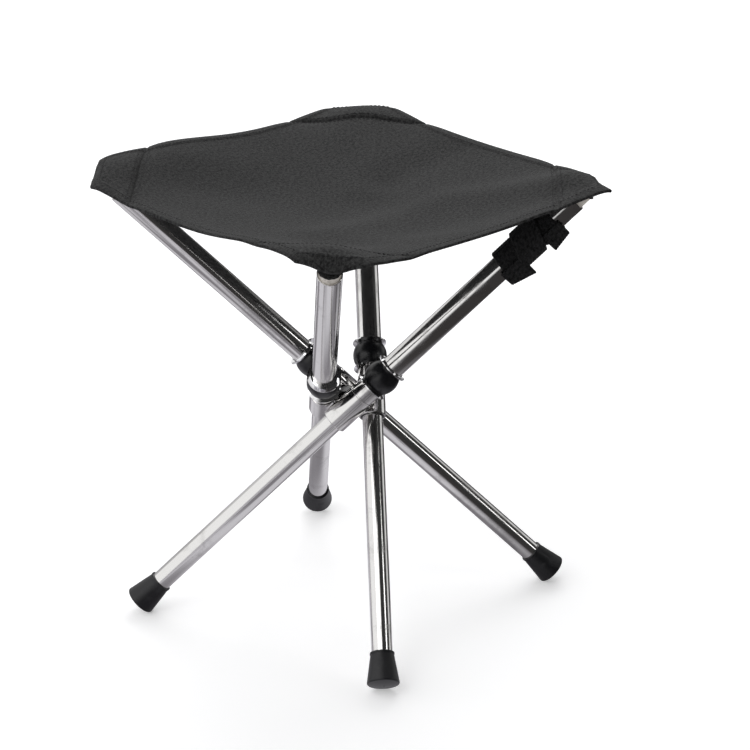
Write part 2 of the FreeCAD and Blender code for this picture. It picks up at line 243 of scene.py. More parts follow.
def grid_faces(rows: int, columns: int, closed: bool = False) -> list:
    """Quads of a grid whose vertices are numbered row by row.

    Args:
        rows: Number of vertex rows.
        columns: Number of vertices in a row.
        closed: Whether each row's end meets its start.

    Returns:
        A list of four-number tuples.
    """
    faces = []
    last = columns if closed else columns - 1
    for r in range(rows - 1):
        for c in range(last):
            n = (c + 1) % columns
            faces.append((r * columns + c, r * columns + n, (r + 1) * columns + n, (r + 1) * columns + c))
    return faces


# ---- shader helpers and groups ----


class Graph:
    """Short-hand for wiring one node tree."""

    def __init__(self, tree: bpy.types.NodeTree) -> None:
        """Keeps the tree.

        Args:
            tree: A material's, world's or group's node tree.
        """
        self.tree = tree

    def node(self, kind: str, settings: dict | None = None, **inputs: object) -> Node:
        """Adds a node.

        Args:
            kind: The node's type name, without the ShaderNode prefix.
            settings: The node's own properties.
            **inputs: Input sockets by name, underscores for spaces; a value or a socket.

        Returns:
            The node.
        """
        made = self.tree.nodes.new("ShaderNode" + kind)
        for key, value in (settings or {}).items():
            setattr(made, key, value)
        self.feeds(made, **inputs)
        return made

    def feeds(self, node: Node, **inputs: object) -> None:
        """Feeds a node's inputs by name, with underscores for spaces."""
        for key, value in inputs.items():
            self.feed(node.inputs[key.replace("_", " ")], value)

    def feed(self, socket: Socket, value: object) -> None:
        """Links a socket to another one, or sets its value.

        Args:
            socket: The input socket.
            value: An output socket or a plain value.
        """
        if isinstance(value, Socket):
            self.tree.links.new(value, socket)
        else:
            socket.default_value = value

    def math(self, operation: str, first: object, second: object = 0.0,
             third: object = 0.0) -> Socket:
        """A Math node's result.

        Args:
            operation: The node's operation.
            first: First value or socket.
            second: Second value or socket.
            third: Third value or socket.

        Returns:
            The output socket.
        """
        made = self.node("Math", {"operation": operation})
        for socket, value in zip(made.inputs, (first, second, third)):
            self.feed(socket, value)
        return made.outputs[0]

    def spread(self, value: object, low: float, high: float, start: object = 0.0,
               end: object = 1.0) -> Socket:
        """Maps a value that runs from start to end smoothly to low to high.

        Args:
            value: The socket to map.
            low: Result at start.
            high: Result at end.
            start: Where the change starts.
            end: Where it ends.

        Returns:
            The output socket.
        """
        made = self.node("MapRange", {"interpolation_type": "SMOOTHSTEP"}, Value=value, From_Min=start,
                         From_Max=end, To_Min=low, To_Max=high)
        return made.outputs["Result"]

    def tint(self, factor: object, first: tuple, second: tuple) -> Socket:
        """Mixes two colours.

        Args:
            factor: 0 for the first colour, 1 for the second.
            first: RGB.
            second: RGB.

        Returns:
            The colour socket.
        """
        made = self.node("Mix", {"data_type": "RGBA"})
        self.feed(made.inputs[0], factor)
        made.inputs[6].default_value = (*first, 1.0)
        made.inputs[7].default_value = (*second, 1.0)
        return made.outputs[2]

    def noise(self, vector: object, scale: object, detail: float = 2.0,
              roughness: float = 0.5) -> Socket:
        """A Noise Texture's value.

        Args:
            vector: The coordinates.
            scale: Features per metre.
            detail: Octaves.
            roughness: Share of each finer octave.

        Returns:
            The value socket.
        """
        made = self.node("TexNoise", Vector=vector, Scale=scale, Detail=detail, Roughness=roughness)
        return made.outputs["Fac"]


class Group(Enum):
    """The shader groups that several finishes share."""

    LEG_AXES = "leg_axes"
    DRAW_LINES = "draw_lines"
    HANDLING = "handling_marks"
    GRAIN = "moulded_grain"
    WEAVE = "close_weave"


def start_group(group: Group, inputs: dict, outputs: dict) -> tuple[Graph, Node, Node]:
    """Makes an empty group with its sockets.

    Args:
        group: Which group.
        inputs: Socket type by input name.
        outputs: Socket type by output name.

    Returns:
        The graph, the group's input node and its output node.
    """
    tree = bpy.data.node_groups.new(group.value, "ShaderNodeTree")
    for name, kind in inputs.items():
        tree.interface.new_socket(name, in_out="INPUT", socket_type="NodeSocket" + kind)
    for name, kind in outputs.items():
        tree.interface.new_socket(name, in_out="OUTPUT", socket_type="NodeSocket" + kind)
    graph = Graph(tree)
    return graph, tree.nodes.new("NodeGroupInput"), tree.nodes.new("NodeGroupOutput")


def build_leg_axes() -> None:
    """Coordinates in a leg's own frame, so that a finish can follow the tube."""
    graph, given, result = start_group(Group.LEG_AXES, {"Azimuth": "Float"}, {"Vector": "Vector"})
    place = graph.node("TexCoord").outputs["Object"]
    back = graph.math("MULTIPLY", given.outputs["Azimuth"], -1.0)
    turned = graph.node("VectorRotate", {"rotation_type": "Z_AXIS"}, Vector=place, Angle=back)
    moved = graph.node("VectorMath", {"operation": "SUBTRACT"})
    graph.feed(moved.inputs[0], turned.outputs[0])
    moved.inputs[1].default_value = (0.0, LEG_OFFSET, PIVOT_HEIGHT)
    upright = graph.node("VectorRotate", {"rotation_type": "Y_AXIS"}, Vector=moved.outputs[0], Angle=TILT)
    graph.feeds(result, Vector=upright.outputs[0])


def build_draw_lines() -> None:
    """Fine lines that run along a drawn and polished tube."""
    graph, given, result = start_group(
        Group.DRAW_LINES, {"Vector": "Vector", "Stretch": "Float", "Scale": "Float"}, {"Lines": "Float"})
    squeeze = graph.node("CombineXYZ", X=1.0, Y=1.0, Z=given.outputs["Stretch"])
    scaled = graph.node("VectorMath", {"operation": "MULTIPLY"})
    graph.feed(scaled.inputs[0], given.outputs["Vector"])
    graph.feed(scaled.inputs[1], squeeze.outputs[0])
    graph.feeds(result, Lines=graph.noise(scaled.outputs[0], given.outputs["Scale"], 3.0))


def build_handling() -> None:
    """Soft blotches where hands and ground have dulled a surface, from 0 to 1."""
    graph, given, result = start_group(
        Group.HANDLING, {"Scale": "Float", "Cover": "Float"}, {"Mask": "Float"})
    blotch = graph.noise(graph.node("TexCoord").outputs["Object"], given.outputs["Scale"], 5.0, 0.62)
    start = graph.math("MULTIPLY_ADD", given.outputs["Cover"], -0.4, 0.72)
    end = graph.math("ADD", start, 0.16)
    graph.feeds(result, Mask=graph.spread(blotch, 0.0, 1.0, start, end))


def build_grain() -> None:
    """The fine pebble of a moulded rubber or nylon face."""
    graph, given, result = start_group(Group.GRAIN, {"Scale": "Float"}, {"Height": "Float"})
    place, scale = graph.node("TexCoord").outputs["Object"], given.outputs["Scale"]
    cells = graph.node("TexVoronoi", {"feature": "SMOOTH_F1"}, Vector=place, Scale=scale)
    fine = graph.noise(place, scale)
    graph.feeds(result, Height=graph.math("MULTIPLY_ADD", fine, 0.6, cells.outputs["Distance"]))


def build_weave() -> None:
    """A plain weave on flat cloth coordinates: each thread goes over one and under one. Its Gap output marks
    the low places between threads, where the cloth paints shade.
    """
    graph, given, result = start_group(Group.WEAVE, {"Vector": "Vector", "Pitch": "Float"},
                                       {"Height": "Float", "Gap": "Float", "Thread": "Float"})
    parts = graph.node("SeparateXYZ", Vector=given.outputs["Vector"])
    threads, cells = [], []
    for axis in ("X", "Y"):
        place = graph.math("DIVIDE", parts.outputs[axis], given.outputs["Pitch"])
        cells.append(graph.math("FLOOR", place))
        threads.append(graph.math("ABSOLUTE", graph.math("SINE", graph.math("MULTIPLY", place, math.pi))))
    over = graph.math("FLOORED_MODULO", graph.math("ADD", *cells), 2.0)
    height = graph.node("Mix", {"data_type": "FLOAT"})
    graph.feed(height.inputs[0], over)
    for socket, (own, other) in zip(height.inputs[2:4], (threads, threads[::-1])):
        crown = graph.math("MULTIPLY_ADD", other, 0.45, 0.55)
        graph.feed(socket, graph.math("MULTIPLY", graph.math("POWER", own, 0.6), crown))
    cell = graph.node("CombineXYZ", X=cells[0], Y=cells[1], Z=over)
    thread = graph.node("TexWhiteNoise", {"noise_dimensions": "3D"}, Vector=cell.outputs[0])
    # Gap is 1 where the weave dips between threads; the cloth uses it to paint shade.
    gap = graph.spread(height.outputs[0], 1.0, 0.0, 0.0, 0.45)
    graph.feeds(result, Height=height.outputs[0], Gap=gap, Thread=thread.outputs["Value"])


def build_groups() -> None:
    """Builds every shared group once."""
    for build in (build_leg_axes, build_draw_lines, build_handling, build_grain, build_weave):
        build()


def placed_group(graph: Graph, group: Group, **inputs: object) -> Node:
    """Puts a shared group in a material.

    Args:
        graph: The material's graph.
        group: Which group.
        **inputs: Its inputs by name.

    Returns:
        The group node.
    """
    made = graph.tree.nodes.new("ShaderNodeGroup")
    made.node_tree = bpy.data.node_groups[group.value]
    graph.feeds(made, **inputs)
    return made


def start_material(name: str) -> tuple[Material, Graph, Node]:
    """Makes a material with its Principled shader.

    Args:
        name: The material's name.

    Returns:
        The material, its graph and its shader node.
    """
    material = bpy.data.materials.new(name)
    material.use_nodes = True
    return material, Graph(material.node_tree), material.node_tree.nodes["Principled BSDF"]


def add_bump(graph: Graph, shader: Node, height: Socket, depth: float) -> None:
    """Feeds a height into the shader's Normal.

    Args:
        graph: The material's graph.
        shader: The Principled node.
        height: The height socket, from 0 to 1.
        depth: The real depth of that range, in metres.
    """
    bump = graph.node("Bump", Height=height, Distance=depth, Strength=1.0)
    graph.feeds(shader, Normal=bump.outputs["Normal"])


# ---- finishes ----


@dataclass(frozen=True)
class PolishedSteel:
    """Drawn stainless tube, polished along its length, with faint lines and smudges."""

    name: str = "polished_steel"
    clean: tuple = (0.80, 0.79, 0.78)
    smudged: tuple = (0.66, 0.65, 0.64)
    roughness: tuple = (0.10, 0.24)
    line_scale: float = 900.0
    line_stretch: float = 0.02
    line_depth: float = 0.000006
    line_share: float = 0.6
    smudge_share: float = 0.5

    def build(self, azimuth: float) -> Material:
        """Makes the finish for one leg.

        Args:
            azimuth: The leg's turn about Z, in radians.

        Returns:
            The material.
        """
        material, graph, shader = start_material(f"{self.name}_{round(math.degrees(azimuth)) % 360}")
        axes = placed_group(graph, Group.LEG_AXES, Azimuth=azimuth)
        lines = placed_group(graph, Group.DRAW_LINES, Vector=axes.outputs["Vector"],
                             Stretch=self.line_stretch, Scale=self.line_scale).outputs["Lines"]
        marks = placed_group(graph, Group.HANDLING, Scale=38.0, Cover=0.5).outputs["Mask"]
        dulled = graph.math("MULTIPLY", marks, self.smudge_share)
        dulled = graph.math("MULTIPLY_ADD", lines, self.line_share, dulled)
        graph.feeds(shader, Metallic=1.0, Base_Color=graph.tint(marks, self.clean, self.smudged),
                    Roughness=graph.spread(dulled, *self.roughness, 0.1, 0.9))
        add_bump(graph, shader, lines, self.line_depth)
        return material


@dataclass(frozen=True)
class BrightRing:
    """Chromed pressed washer, a little brighter and smoother than the tubes."""

    name: str = "chrome_ring"
    clean: tuple = (0.86, 0.86, 0.87)
    worn: tuple = (0.62, 0.60, 0.58)
    roughness: tuple = (0.07, 0.26)

    def build(self) -> Material:
        """Makes the finish.

        Returns:
            The material.
        """
        material, graph, shader = start_material(self.name)
        marks = placed_group(graph, Group.HANDLING, Scale=160.0, Cover=0.45).outputs["Mask"]
        graph.feeds(shader, Metallic=1.0, Base_Color=graph.tint(marks, self.clean, self.worn),
                    Roughness=graph.spread(marks, *self.roughness))
        return material


@dataclass(frozen=True)
class Moulded:
    """Moulded rubber or nylon with a fine grain and dulled patches."""

    name: str
    base: tuple
    dusty: tuple
    roughness: tuple
    grain_scale: float
    grain_depth: float
    cover: float = 0.5

    def build(self) -> Material:
        """Makes the finish.

        Returns:
            The material.
        """
        material, graph, shader = start_material(self.name)
        marks = placed_group(graph, Group.HANDLING, Scale=85.0, Cover=self.cover).outputs["Mask"]
        grain = placed_group(graph, Group.GRAIN, Scale=self.grain_scale)
        graph.feeds(shader, Base_Color=graph.tint(marks, self.base, self.dusty),
                    Roughness=graph.spread(marks, *self.roughness))
        add_bump(graph, shader, grain.outputs["Height"], self.grain_depth)
        return material


@dataclass(frozen=True)
class WovenCloth:
    """Close woven cloth on its own flat coordinates, with uneven thread and dye, and painted shade in the
    gaps between threads.

    The shares say how much each part lightens or darkens the cloth, from dark to light; the gap share darkens
    the colour where the weave is low, as painted shade.
    """

    name: str
    light: tuple
    dark: tuple
    pitch: float
    depth: float
    slub_scale: float = 430.0
    dye_scale: float = 14.0
    fuzz_scale: float = 1400.0
    thread_share: float = 0.22
    dye_share: float = 0.22
    fuzz_share: float = 0.22
    slub_share: float = 0.60
    # Darkens the colour between the threads: painted shade.
    gap_shade_share: float = -0.55
    shade_range: tuple = (0.2, 0.95)
    roughness: tuple = (0.72, 0.9)
    sheen: float = 0.06
    sheen_tint: tuple = (0.6, 0.6, 0.62)

    def build(self) -> Material:
        """Makes the finish.

        Returns:
            The material.
        """
        material, graph, shader = start_material(self.name)
        flat = graph.node("UVMap", {"uv_map": FLAT_LAYER}).outputs["UV"]
        weave = placed_group(graph, Group.WEAVE, Vector=flat, Pitch=self.pitch)
        dye = graph.noise(flat, self.dye_scale, 4.0, 0.6)
        fuzz = graph.noise(flat, self.fuzz_scale, 2.0, 0.6)
        slub = graph.spread(graph.noise(flat, self.slub_scale, 3.0, 0.7), 0.0, 1.0, 0.28, 0.72)
        shade = 0.0
        # The weave's Gap mask darkens the colour where the threads dip: painted shade.
        for part, share in (
            (weave.outputs["Thread"], self.thread_share), (dye, self.dye_share), (fuzz, self.fuzz_share),
            (slub, self.slub_share), (weave.outputs["Gap"], self.gap_shade_share),
        ):
            shade = graph.math("MULTIPLY_ADD", part, share, shade)
        lightness = graph.spread(shade, 0.0, 1.0, *self.shade_range)
        graph.feeds(shader, Base_Color=graph.tint(lightness, self.dark, self.light),
                    Roughness=graph.spread(fuzz, *self.roughness, 0.3, 0.7), Sheen_Weight=self.sheen,
                    Sheen_Roughness=0.45, Sheen_Tint=(*self.sheen_tint, 1.0), Specular_IOR_Level=0.25)
        add_bump(graph, shader, weave.outputs["Height"], self.depth)
        return material


BALL_RUBBER = Moulded(
    "ball_rubber", base=(0.008, 0.008, 0.010), dusty=(0.020, 0.020, 0.024), roughness=(0.30, 0.46),
    grain_scale=2600.0, grain_depth=0.00003, cover=0.45)
FOOT_RUBBER = Moulded(
    "foot_rubber", base=(0.007, 0.007, 0.009), dusty=(0.022, 0.022, 0.025), roughness=(0.42, 0.62),
    grain_scale=1900.0, grain_depth=0.00006)
BLACK_NYLON = Moulded(
    "black_nylon", base=(0.012, 0.012, 0.012), dusty=(0.025, 0.025, 0.025), roughness=(0.40, 0.60),
    grain_scale=3000.0, grain_depth=0.00003)
PALE_NYLON = Moulded(
    "pale_nylon", base=(0.62, 0.58, 0.53), dusty=(0.45, 0.41, 0.37), roughness=(0.35, 0.55),
    grain_scale=3000.0, grain_depth=0.00002, cover=0.4)
SEAT_CLOTH = WovenCloth(
    "seat_cloth", light=(0.046, 0.046, 0.046), dark=(0.001, 0.001, 0.001), pitch=0.00085,
    depth=0.00016, sheen=0.04)
THREAD = WovenCloth(
    "stitch_thread", light=(0.030, 0.030, 0.031), dark=(0.012, 0.012, 0.013), pitch=0.0004,
    depth=0.00005)
WEBBING = WovenCloth(
    "strap_webbing", light=(0.026, 0.026, 0.027), dark=(0.002, 0.002, 0.002), pitch=0.0011,
    depth=0.00025, sheen=0.05)



# ---- the seat ----


@dataclass(frozen=True)
class SeatPattern:
    """The seat's outline and its settled shape, in the seat frame.

    The seat frame has its origin on the floor under the seat's middle and its axes square to
    the hems. Its corners lie on the diagonals. A share runs from -1 at one hem to 1 at the
    opposite one.
    """

    half: float = 0.1569
    hollow: float = 0.004
    corner_reach: float = 0.1939
    rise: float = 0.1806
    edge_sag: float = 0.0035
    middle_sag: float = 0.0224
    crest_reach: float = 0.1767
    lift: float = 0.0079
    lift_spread: float = 0.020
    tip_drop: float = 0.0093
    tip_spread: float = 0.015

    @property
    def turn(self) -> float:
        """Angle of the seat frame about Z, in radians."""
        return math.radians(45.0) - math.asin(LEG_OFFSET / self.corner_reach)

    def hem_distance(self, share: Array) -> Array:
        """Middle line to hem, at a share of the way along the hem."""
        return self.half - self.hollow * (1 - share * share)

    def shares(self, x: Array, y: Array) -> tuple[Array, Array]:
        """Where plan points lie as shares of the way to the hems.

        Args:
            x: Plan coordinate along the first axis.
            y: Plan coordinate along the second axis.

        Returns:
            The two shares, each from -1 to 1 inside the hems.
        """
        p = x / self.half
        q = y / self.half
        for _ in range(6):
            p, q = x / self.hem_distance(q), y / self.hem_distance(p)
        return p, q

    def from_corner(self, x: Array, y: Array, signs: tuple) -> tuple[Array, Array]:
        """Plan places along and across one corner's diagonal, from the seat's middle."""
        sx, sy = signs
        return (x * sx + y * sy) * math.sqrt(0.5), (y * sx - x * sy) * math.sqrt(0.5)

    def along_diagonal(self, x: Array, y: Array) -> Array:
        """Distance from the middle towards the nearest corner."""
        return (np.abs(x) + np.abs(y)) * math.sqrt(0.5)

    def hem_inset(self, x: Array, y: Array) -> Array:
        """Distance from plan points to the nearest of the four hems."""
        p, q = self.shares(x, y)
        return np.minimum((1 - np.abs(p)) * self.hem_distance(q), (1 - np.abs(q)) * self.hem_distance(p))

    def end_inset(self, x: Array, y: Array) -> Array:
        """Distance from plan points to the nearest corner's blunt end."""
        return self.corner_reach - self.along_diagonal(x, y)

    def settled_height(self, x: Array, y: Array) -> Array:
        """Height of the cloth above the floor, before it is draped.

        Args:
            x: Plan coordinate along the first axis.
            y: Plan coordinate along the second axis.

        Returns:
            Heights in metres.
        """
        p, q = self.shares(x, y)
        first = np.clip(1 - p * p, 0, None) ** 2
        second = np.clip(1 - q * q, 0, None) ** 2
        sag = self.edge_sag * (first + second)
        sag = sag + (self.middle_sag - 2 * self.edge_sag) * first * second
        height = PIVOT_HEIGHT + self.rise - sag
        reach = self.crest_reach
        off = reach * math.sin(math.asin(LEG_OFFSET / reach) - math.asin(LEG_OFFSET / self.corner_reach))
        for signs in CORNER_SIGNS.values():
            along, across = self.from_corner(x, y, signs)
            lift = np.exp(-0.5 * (((along - reach) ** 2 + (across + off) ** 2) / self.lift_spread**2))
            past = np.clip((along - reach) / (self.corner_reach - reach), 0, 1)
            drop = past**3 * np.exp(-0.5 * (across / self.tip_spread) ** 2)
            height = height + self.lift * lift - self.tip_drop * drop
        return height

    def to_row(self, points: Array) -> Array:
        """Turns seat-frame points into the row frame."""
        c, s = math.cos(self.turn), math.sin(self.turn)
        x, y = points[..., 0], points[..., 1]
        return np.stack([c * x - s * y, s * x + c * y, points[..., 2]], axis=-1)


CORNER_SIGNS = {Side.BACK: (1, 1), Side.LEFT: (-1, 1), Side.FRONT: (-1, -1), Side.RIGHT: (1, -1)}


@dataclass(frozen=True)
class Fold:
    """One broad soft ridge or hollow that use has left in the cloth.

    Its route is in shares of the way from the seat's middle to the hems.
    """

    route: tuple
    height: float
    width: float

    def lift(self, p: Array, q: Array, half: float) -> Array:
        """How far the fold lifts the cloth.

        Args:
            p: First share of each place.
            q: Second share of each place.
            half: Middle to hem, in metres.

        Returns:
            Lifts in metres, negative in a hollow.
        """
        nearest = np.full(np.shape(p), np.inf)
        for (p0, q0), (p1, q1) in zip(self.route, self.route[1:]):
            run = (p1 - p0) ** 2 + (q1 - q0) ** 2
            share = np.clip(((p - p0) * (p1 - p0) + (q - q0) * (q1 - q0)) / run, 0, 1)
            nearest = np.minimum(nearest, np.hypot(p - p0 - share * (p1 - p0), q - q0 - share * (q1 - q0)))
        return self.height * np.exp(-0.5 * (nearest * half / self.width) ** 2)


FOLDS = (
    Fold(((0.84, -0.80), (0.38, -0.30), (-0.46, -0.28)), 0.0034, 0.015),
    Fold(((0.62, -0.86), (0.10, -0.62), (-0.50, -0.58)), -0.0022, 0.016),
    Fold(((1.00, 0.13), (0.39, 0.12)), -0.0022, 0.014),
    Fold(((0.80, 0.86), (0.52, 0.38), (0.25, 0.15)), 0.0024, 0.014),
    Fold(((-0.84, 0.78), (-0.35, 0.40)), -0.0020, 0.020),
    Fold(((-0.60, 0.95), (-0.10, 0.70)), 0.0016, 0.018),
    Fold(((-0.10, -0.86), (-0.28, -0.55)), 0.0016, 0.014),
)


@dataclass(frozen=True)
class HemRise:
    """A stretch of cloth that its corner pulls up, or lets down where its height is negative."""

    centre: tuple
    spread: tuple
    height: float

    def lift(self, p: Array, q: Array) -> Array:
        """How far the cloth is lifted at plan shares, in metres."""
        first = (p - self.centre[0]) / self.spread[0]
        second = (q - self.centre[1]) / self.spread[1]
        return self.height * np.exp(-0.5 * (first * first + second * second))


HEM_RISES = (
    HemRise((-0.38, 1.0), (0.31, 0.22), 0.0100),
    HemRise((-1.0, -0.50), (0.17, 0.23), 0.0080),
    HemRise((0.45, -1.0), (0.15, 0.20), 0.0020),
    HemRise((0.76, 0.82), (0.12, 0.12), -0.0040),
    HemRise((1.0, -0.74), (0.11, 0.11), -0.0028),
    HemRise((-0.90, -0.90), (0.05, 0.05), -0.0030),
    HemRise((-0.76, -0.98), (0.05, 0.06), 0.0016),
)


CLOTH_SETTINGS = {
    "quality": 8, "mass": 0.30, "air_damping": 3.0, "pin_stiffness": 5.0,
    "tension_stiffness": 60.0, "tension_damping": 20.0,
    "compression_stiffness": 60.0, "compression_damping": 20.0,
    "shear_stiffness": 20.0, "shear_damping": 15.0,
    "bending_stiffness": 4.0, "bending_damping": 2.0,
}


@dataclass(frozen=True)
class Drape:
    """The cloth simulation that settles the seat between its hems and its four corners."""

    pattern: SeatPattern
    cells: int = 62
    slack: float = 1.0012
    overhang: float = 0.006
    held_from: float = 0.158
    held_over: float = 0.012
    hem_grip: float = 0.016
    frames: int = 30
    most_moved: float = 0.005
    tuck_depth: float = 0.0011
    tuck_inset: float = 0.033
    tuck_width: float = 0.0055
    tuck_reach: float = 0.010
    fold_fade: float = 0.026
    skew_from: float = 0.150
    skew_over: float = 0.044
    skew_side: float = 0.028
    skew_out: float = 0.009
    skew_in: float = 0.003
    skew_up: float = 0.004

    def grid(self) -> tuple[Array, Array]:
        """The plan places of a square grid over the seat."""
        shares = np.linspace(-1, 1, self.cells + 1)
        p, q = np.meshgrid(shares, shares, indexing="ij")
        return p * self.pattern.hem_distance(q), q * self.pattern.hem_distance(p)

    def settle(self) -> Array:
        """Runs the simulation and adds the worn folds.

        Returns:
            An array of seat-frame points, one for each grid place.
        """
        x, y = self.grid()
        start = np.stack([x, y, self.pattern.settled_height(x, y)], axis=-1)
        moved = np.zeros_like(start)
        inside = self.pattern.end_inset(x, y) > -self.overhang
        sheet = self.make_sheet(start, inside)
        moved[inside] = self.run(sheet) - start[inside]
        bpy.data.objects.remove(sheet)
        result = start + np.clip(self.smoothed(moved), -self.most_moved, self.most_moved)
        result[..., 2] += self.worn(x, y)
        return self.skewed(result, x, y)

    def smoothed(self, moved: Array) -> Array:
        """Evens out the finest ripples of a displacement, with its rim as it was."""
        even = moved.copy()
        for _ in range(3):
            inner = even[1:-1, 1:-1]
            around = even[:-2, 1:-1] + even[2:, 1:-1] + even[1:-1, :-2] + even[1:-1, 2:]
            even[1:-1, 1:-1] = 0.5 * inner + 0.125 * around
        return even

    def worn(self, x: Array, y: Array) -> Array:
        """The folds, and the small tuck where each corner's seam meets a hem.

        Args:
            x: Plan coordinate along the first axis.
            y: Plan coordinate along the second axis.

        Returns:
            Lifts in metres.
        """
        p, q = self.pattern.shares(x, y)
        hem, end = self.pattern.hem_inset(x, y), self.pattern.end_inset(x, y)
        fade = np.clip(np.minimum(hem, end) / self.fold_fade, 0, 1)
        lift = sum(fold.lift(p, q, self.pattern.half) for fold in FOLDS) * fade * fade * (3 - 2 * fade)
        lift = lift + sum(rise.lift(p, q) for rise in HEM_RISES)
        seam = np.exp(-0.5 * ((end - self.tuck_inset) / self.tuck_width) ** 2)
        return lift - self.tuck_depth * seam * np.exp(-0.5 * (hem / self.tuck_reach) ** 2)

    def skewed(self, points: Array, x: Array, y: Array) -> Array:
        """Pulls the right corner's blunt end askew, its front side out and up.

        Args:
            points: Seat-frame points.
            x: Their flat coordinate along the first axis.
            y: Their flat coordinate along the second axis.

        Returns:
            The points with the right corner moved.
        """
        signs = CORNER_SIGNS[Side.RIGHT]
        along, across = self.pattern.from_corner(x, y, signs)
        near = np.clip((along - self.skew_from) / self.skew_over, 0, 1.2)
        side = np.clip(-across / self.skew_side, -1.2, 1.2)
        out = near * near * np.where(side > 0, self.skew_out, self.skew_in) * side
        result = points.copy()
        result[..., :2] += out[..., None] * np.array(signs) * math.sqrt(0.5)
        result[..., 2] += near * near * self.skew_up * np.clip(side, 0, None)
        return result

    def make_sheet(self, start: Array, inside: Array) -> Object:
        """Builds the sheet to be simulated.

        Args:
            start: Grid points.
            inside: Which of them the cloth has.

        Returns:
            The sheet, with its held corners and hems and its slack rest shape.
        """
        number = -np.ones(inside.shape, int)
        number[inside] = np.arange(inside.sum())
        faces = []
        for i in range(self.cells):
            for j in range(self.cells):
                quad = (number[i, j], number[i + 1, j], number[i + 1, j + 1], number[i, j + 1])
                if min(quad) >= 0:
                    faces.append(tuple(int(n) for n in quad))
        places = start[inside]
        sheet = new_object("sheet_to_settle", places.tolist(), faces)
        along = self.pattern.along_diagonal(places[:, 0], places[:, 1])
        hem = self.pattern.hem_inset(places[:, 0], places[:, 1])
        corner_grip = np.clip((along - self.held_from) / self.held_over, 0, 1)
        grips = np.maximum(corner_grip, np.clip(1.1 - hem / self.hem_grip, 0, 1))
        group = sheet.vertex_groups.new(name="held")
        for n, grip in enumerate(grips.tolist()):
            if grip > 0:
                group.add([n], grip, "REPLACE")
        sheet.shape_key_add(name="Basis")
        slack = sheet.shape_key_add(name="slack")
        centre = places.mean(axis=0)
        for n, p in enumerate((places - centre) * self.slack + centre):
            slack.data[n].co = p
        return sheet

    def run(self, sheet: Object) -> Array:
        """Steps the cloth and reads where it comes to rest.

        Args:
            sheet: The sheet from make_sheet.

        Returns:
            Its settled points.
        """
        cloth = sheet.modifiers.new("settle", "CLOTH")
        settings = cloth.settings
        for name, value in CLOTH_SETTINGS.items():
            setattr(settings, name, value)
        settings.vertex_group_mass = "held"
        settings.rest_shape_key = sheet.data.shape_keys.key_blocks["slack"]
        cloth.collision_settings.use_collision = False
        cloth.point_cache.frame_start = 1
        cloth.point_cache.frame_end = self.frames
        scene = bpy.context.scene
        for step in range(1, self.frames + 1):
            scene.frame_set(step)
        evaluated = sheet.evaluated_get(bpy.context.evaluated_depsgraph_get())
        points = np.array([v.co for v in evaluated.data.vertices], float)
        scene.frame_set(1)
        return points


@dataclass(frozen=True)
class ClothSurface:
    """The settled cloth as a smooth surface over the seat's plan, from its grid of points."""

    pattern: SeatPattern
    settled: Array

    def point(self, x: Array, y: Array) -> Array:
        """Places on the cloth by Catmull-Rom patches through the grid.

        Args:
            x: Plan coordinate of the flat cloth along the first axis.
            y: Plan coordinate along the second axis.

        Returns:
            Seat-frame points.
        """
        cells = self.settled.shape[0] - 1
        p, q = self.pattern.shares(x, y)
        u = np.clip((p + 1) / 2 * cells, 0, cells - 1e-9)
        v = np.clip((q + 1) / 2 * cells, 0, cells - 1e-9)
        i, j = u.astype(int), v.astype(int)
        wu, wv = self.weights(u - i), self.weights(v - j)
        total = np.zeros((*np.shape(x), 3))
        for a in range(4):
            row = np.clip(i + a - 1, 0, cells)
            for b in range(4):
                column = np.clip(j + b - 1, 0, cells)
                total += (wu[a] * wv[b])[..., None] * self.settled[row, column]
        return total

    @staticmethod
    def weights(t: Array) -> list:
        """The four Catmull-Rom weights at a share of the way through a cell."""
        return [
            0.5 * (-t + 2 * t**2 - t**3), 0.5 * (2 - 5 * t**2 + 3 * t**3),
            0.5 * (t + 4 * t**2 - 3 * t**3), 0.5 * (-(t**2) + t**3),
        ]

    def normal(self, x: Array, y: Array) -> Array:
        """Upward unit normals of the cloth, in the seat frame."""
        return upward(self.point, x, y, 0.0015)


